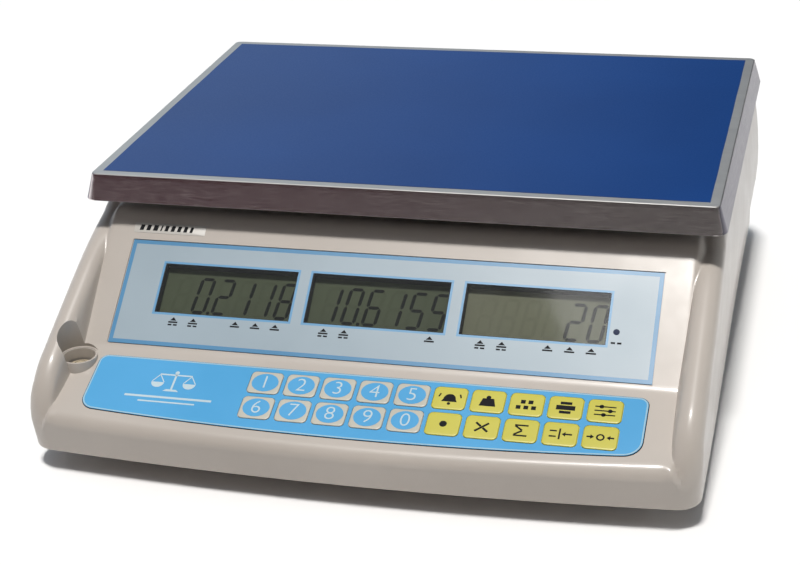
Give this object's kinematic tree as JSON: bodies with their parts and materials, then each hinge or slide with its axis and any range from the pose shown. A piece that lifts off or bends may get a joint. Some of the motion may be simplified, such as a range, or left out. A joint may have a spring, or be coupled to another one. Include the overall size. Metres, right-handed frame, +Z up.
{
  "type": "counting scale",
  "caption": "Electronic counting scale: low console with sloping triple display and membrane keypad, and a wide flat steel weighing tray on a load cell behind it.",
  "frame": {"origin": "middle of the footprint, on the bench under the rubber feet", "axes": "+X to the operator's right, +Y from the console to the rear, +Z up"},
  "size_m": [0.338, 0.357, 0.1202],
  "materials": {
    "housing_plastic": "moulded, satin",
    "base_plastic": "fine texture",
    "tray_steel": "long brushed grain",
    "tray_film": "semi-gloss protective film",
    "cast_aluminium": "as cast",
    "bumper_rubber": "matte",
    "machined_aluminium": "machined",
    "zinc_steel": "zinc plated",
    "dark_steel": "black oxide",
    "display_sheet": "printed polyester, gloss",
    "circuit_board": "solder resist",
    "lcd_glass": "reflective liquid crystal",
    "lamp_lens": "clear moulded",
    "keypad_sheet": "printed polyester, satin",
    "circuit_film": "screen printed",
    "key_blue": "embossed, printed",
    "key_yellow": "embossed, printed",
    "clear_acrylic": "clear",
    "vial_fluid": "clear liquid",
    "transformer_iron": "varnished laminations",
    "battery_case": "moulded",
    "black_plastic": "moulded",
    "port_steel": "plated",
    "rocker_plastic": "moulded",
    "label_film": "printed foil",
    "foot_rubber": "matte"
  },
  "bodies": {
    "base": {"upper_housing": "housing_plastic", "lower_housing": "base_plastic", "load_cell": "machined_aluminium", "cell_mount_plate": "zinc_steel", "cell_fixed_bolts": "dark_steel", "overload_stop": "zinc_steel", "display_overlay": "display_sheet", "display_board": "circuit_board", "lcd_left": "lcd_glass", "lcd_middle": "lcd_glass", "lcd_right": "lcd_glass", "charge_lamp": "lamp_lens", "keypad_overlay": "keypad_sheet", "keypad_circuit": "circuit_film", "level_vial": "clear_acrylic", "level_fluid": "vial_fluid", "main_board": "circuit_board", "transformer": "transformer_iron", "battery": "battery_case", "battery_cover": "base_plastic", "power_inlet": "black_plastic", "serial_port": "port_steel", "switch_frame": "black_plastic", "housing_screws": "zinc_steel", "rating_label": "label_film"},
    "carrier": {"tray_carrier": "cast_aluminium", "carrier_bumpers": "bumper_rubber", "cell_spacer": "zinc_steel", "cell_live_bolts": "dark_steel"},
    "tray": {"weighing_tray": "tray_steel", "protective_film": "tray_film"},
    "rocker": {"power_rocker": "rocker_plastic"},
    "key_1": {"key_1": "key_blue"},
    "key_2": {"key_2": "key_blue"},
    "key_3": {"key_3": "key_blue"},
    "key_4": {"key_4": "key_blue"},
    "key_5": {"key_5": "key_blue"},
    "key_6": {"key_6": "key_blue"},
    "key_7": {"key_7": "key_blue"},
    "key_8": {"key_8": "key_blue"},
    "key_9": {"key_9": "key_blue"},
    "key_0": {"key_0": "key_blue"},
    "key_point": {"key_point": "key_yellow"},
    "key_alarm": {"key_alarm": "key_yellow"},
    "key_unit_weight": {"key_unit_weight": "key_yellow"},
    "key_sample": {"key_sample": "key_yellow"},
    "key_print": {"key_print": "key_yellow"},
    "key_function": {"key_function": "key_yellow"},
    "key_clear": {"key_clear": "key_yellow"},
    "key_total": {"key_total": "key_yellow"},
    "key_tare": {"key_tare": "key_yellow"},
    "key_zero": {"key_zero": "key_yellow"},
    "foot_fl": {"foot_pad_fl": "foot_rubber"},
    "stud_fl": {"foot_stud_fl": "zinc_steel"},
    "foot_fr": {"foot_pad_fr": "foot_rubber"},
    "stud_fr": {"foot_stud_fr": "zinc_steel"},
    "foot_rl": {"foot_pad_rl": "foot_rubber"},
    "stud_rl": {"foot_stud_rl": "zinc_steel"},
    "foot_rr": {"foot_pad_rr": "foot_rubber"},
    "stud_rr": {"foot_stud_rr": "zinc_steel"}
  },
  "joints": [
    {"name": "weighing_deflection", "type": "slide", "parent": "base", "child": "carrier", "axis": [0, 0, 1], "range_m": [-0.0006, 0], "stiffness_N_per_m": 30000, "springref_m": 0.0005, "deforming": ["load_cell"]},
    {"name": "tray_lift", "type": "slide", "parent": "carrier", "child": "tray", "axis": [0, 0, 1], "range_m": [0, 0.06]},
    {"name": "power_switch", "type": "hinge", "parent": "base", "child": "rocker", "pos_m": [-0.015, 0.1704, 0.045], "axis": [1, 0, 0], "range_deg": [-20, 0]},
    {"name": "key_1_press", "type": "slide", "parent": "base", "child": "key_1", "axis": [0, 0.342, -0.9397], "range_m": [0, 0.0004], "stiffness_N_per_m": 800, "springref_m": -0.0015},
    {"name": "key_2_press", "type": "slide", "parent": "base", "child": "key_2", "axis": [0, 0.342, -0.9397], "range_m": [0, 0.0004], "stiffness_N_per_m": 800, "springref_m": -0.0015},
    {"name": "key_3_press", "type": "slide", "parent": "base", "child": "key_3", "axis": [0, 0.342, -0.9397], "range_m": [0, 0.0004], "stiffness_N_per_m": 800, "springref_m": -0.0015},
    {"name": "key_4_press", "type": "slide", "parent": "base", "child": "key_4", "axis": [0, 0.342, -0.9397], "range_m": [0, 0.0004], "stiffness_N_per_m": 800, "springref_m": -0.0015},
    {"name": "key_5_press", "type": "slide", "parent": "base", "child": "key_5", "axis": [0, 0.342, -0.9397], "range_m": [0, 0.0004], "stiffness_N_per_m": 800, "springref_m": -0.0015},
    {"name": "key_6_press", "type": "slide", "parent": "base", "child": "key_6", "axis": [0, 0.342, -0.9397], "range_m": [0, 0.0004], "stiffness_N_per_m": 800, "springref_m": -0.0015},
    {"name": "key_7_press", "type": "slide", "parent": "base", "child": "key_7", "axis": [0, 0.342, -0.9397], "range_m": [0, 0.0004], "stiffness_N_per_m": 800, "springref_m": -0.0015},
    {"name": "key_8_press", "type": "slide", "parent": "base", "child": "key_8", "axis": [0, 0.342, -0.9397], "range_m": [0, 0.0004], "stiffness_N_per_m": 800, "springref_m": -0.0015},
    {"name": "key_9_press", "type": "slide", "parent": "base", "child": "key_9", "axis": [0, 0.342, -0.9397], "range_m": [0, 0.0004], "stiffness_N_per_m": 800, "springref_m": -0.0015},
    {"name": "key_0_press", "type": "slide", "parent": "base", "child": "key_0", "axis": [0, 0.342, -0.9397], "range_m": [0, 0.0004], "stiffness_N_per_m": 800, "springref_m": -0.0015},
    {"name": "key_point_press", "type": "slide", "parent": "base", "child": "key_point", "axis": [0, 0.342, -0.9397], "range_m": [0, 0.0004], "stiffness_N_per_m": 800, "springref_m": -0.0015},
    {"name": "key_alarm_press", "type": "slide", "parent": "base", "child": "key_alarm", "axis": [0, 0.342, -0.9397], "range_m": [0, 0.0004], "stiffness_N_per_m": 800, "springref_m": -0.0015},
    {"name": "key_unit_weight_press", "type": "slide", "parent": "base", "child": "key_unit_weight", "axis": [0, 0.342, -0.9397], "range_m": [0, 0.0004], "stiffness_N_per_m": 800, "springref_m": -0.0015},
    {"name": "key_sample_press", "type": "slide", "parent": "base", "child": "key_sample", "axis": [0, 0.342, -0.9397], "range_m": [0, 0.0004], "stiffness_N_per_m": 800, "springref_m": -0.0015},
    {"name": "key_print_press", "type": "slide", "parent": "base", "child": "key_print", "axis": [0, 0.342, -0.9397], "range_m": [0, 0.0004], "stiffness_N_per_m": 800, "springref_m": -0.0015},
    {"name": "key_function_press", "type": "slide", "parent": "base", "child": "key_function", "axis": [0, 0.342, -0.9397], "range_m": [0, 0.0004], "stiffness_N_per_m": 800, "springref_m": -0.0015},
    {"name": "key_clear_press", "type": "slide", "parent": "base", "child": "key_clear", "axis": [0, 0.342, -0.9397], "range_m": [0, 0.0004], "stiffness_N_per_m": 800, "springref_m": -0.0015},
    {"name": "key_total_press", "type": "slide", "parent": "base", "child": "key_total", "axis": [0, 0.342, -0.9397], "range_m": [0, 0.0004], "stiffness_N_per_m": 800, "springref_m": -0.0015},
    {"name": "key_tare_press", "type": "slide", "parent": "base", "child": "key_tare", "axis": [0, 0.342, -0.9397], "range_m": [0, 0.0004], "stiffness_N_per_m": 800, "springref_m": -0.0015},
    {"name": "key_zero_press", "type": "slide", "parent": "base", "child": "key_zero", "axis": [0, 0.342, -0.9397], "range_m": [0, 0.0004], "stiffness_N_per_m": 800, "springref_m": -0.0015},
    {"name": "foot_fl_height", "type": "slide", "parent": "base", "child": "foot_fl", "axis": [0, 0, -1], "range_m": [0, 0.006]},
    {"name": "foot_fl_turn", "type": "hinge", "parent": "foot_fl", "child": "stud_fl", "pos_m": [-0.13, -0.14, 0.006], "axis": [0, 0, -1], "range_deg": [0, 1730]},
    {"name": "foot_fr_height", "type": "slide", "parent": "base", "child": "foot_fr", "axis": [0, 0, -1], "range_m": [0, 0.006]},
    {"name": "foot_fr_turn", "type": "hinge", "parent": "foot_fr", "child": "stud_fr", "pos_m": [0.13, -0.14, 0.006], "axis": [0, 0, -1], "range_deg": [0, 1730]},
    {"name": "foot_rl_height", "type": "slide", "parent": "base", "child": "foot_rl", "axis": [0, 0, -1], "range_m": [0, 0.006]},
    {"name": "foot_rl_turn", "type": "hinge", "parent": "foot_rl", "child": "stud_rl", "pos_m": [-0.13, 0.145, 0.006], "axis": [0, 0, -1], "range_deg": [0, 1730]},
    {"name": "foot_rr_height", "type": "slide", "parent": "base", "child": "foot_rr", "axis": [0, 0, -1], "range_m": [0, 0.006]},
    {"name": "foot_rr_turn", "type": "hinge", "parent": "foot_rr", "child": "stud_rr", "pos_m": [0.13, 0.145, 0.006], "axis": [0, 0, -1], "range_deg": [0, 1730]}
  ],
  "couplings": [
    {"joint": "foot_fl_turn", "follows": "foot_fl_height", "rad_per_m": 5026.5},
    {"joint": "foot_fr_turn", "follows": "foot_fr_height", "rad_per_m": 5026.5},
    {"joint": "foot_rl_turn", "follows": "foot_rl_height", "rad_per_m": 5026.5},
    {"joint": "foot_rr_turn", "follows": "foot_rr_height", "rad_per_m": 5026.5}
  ]
}
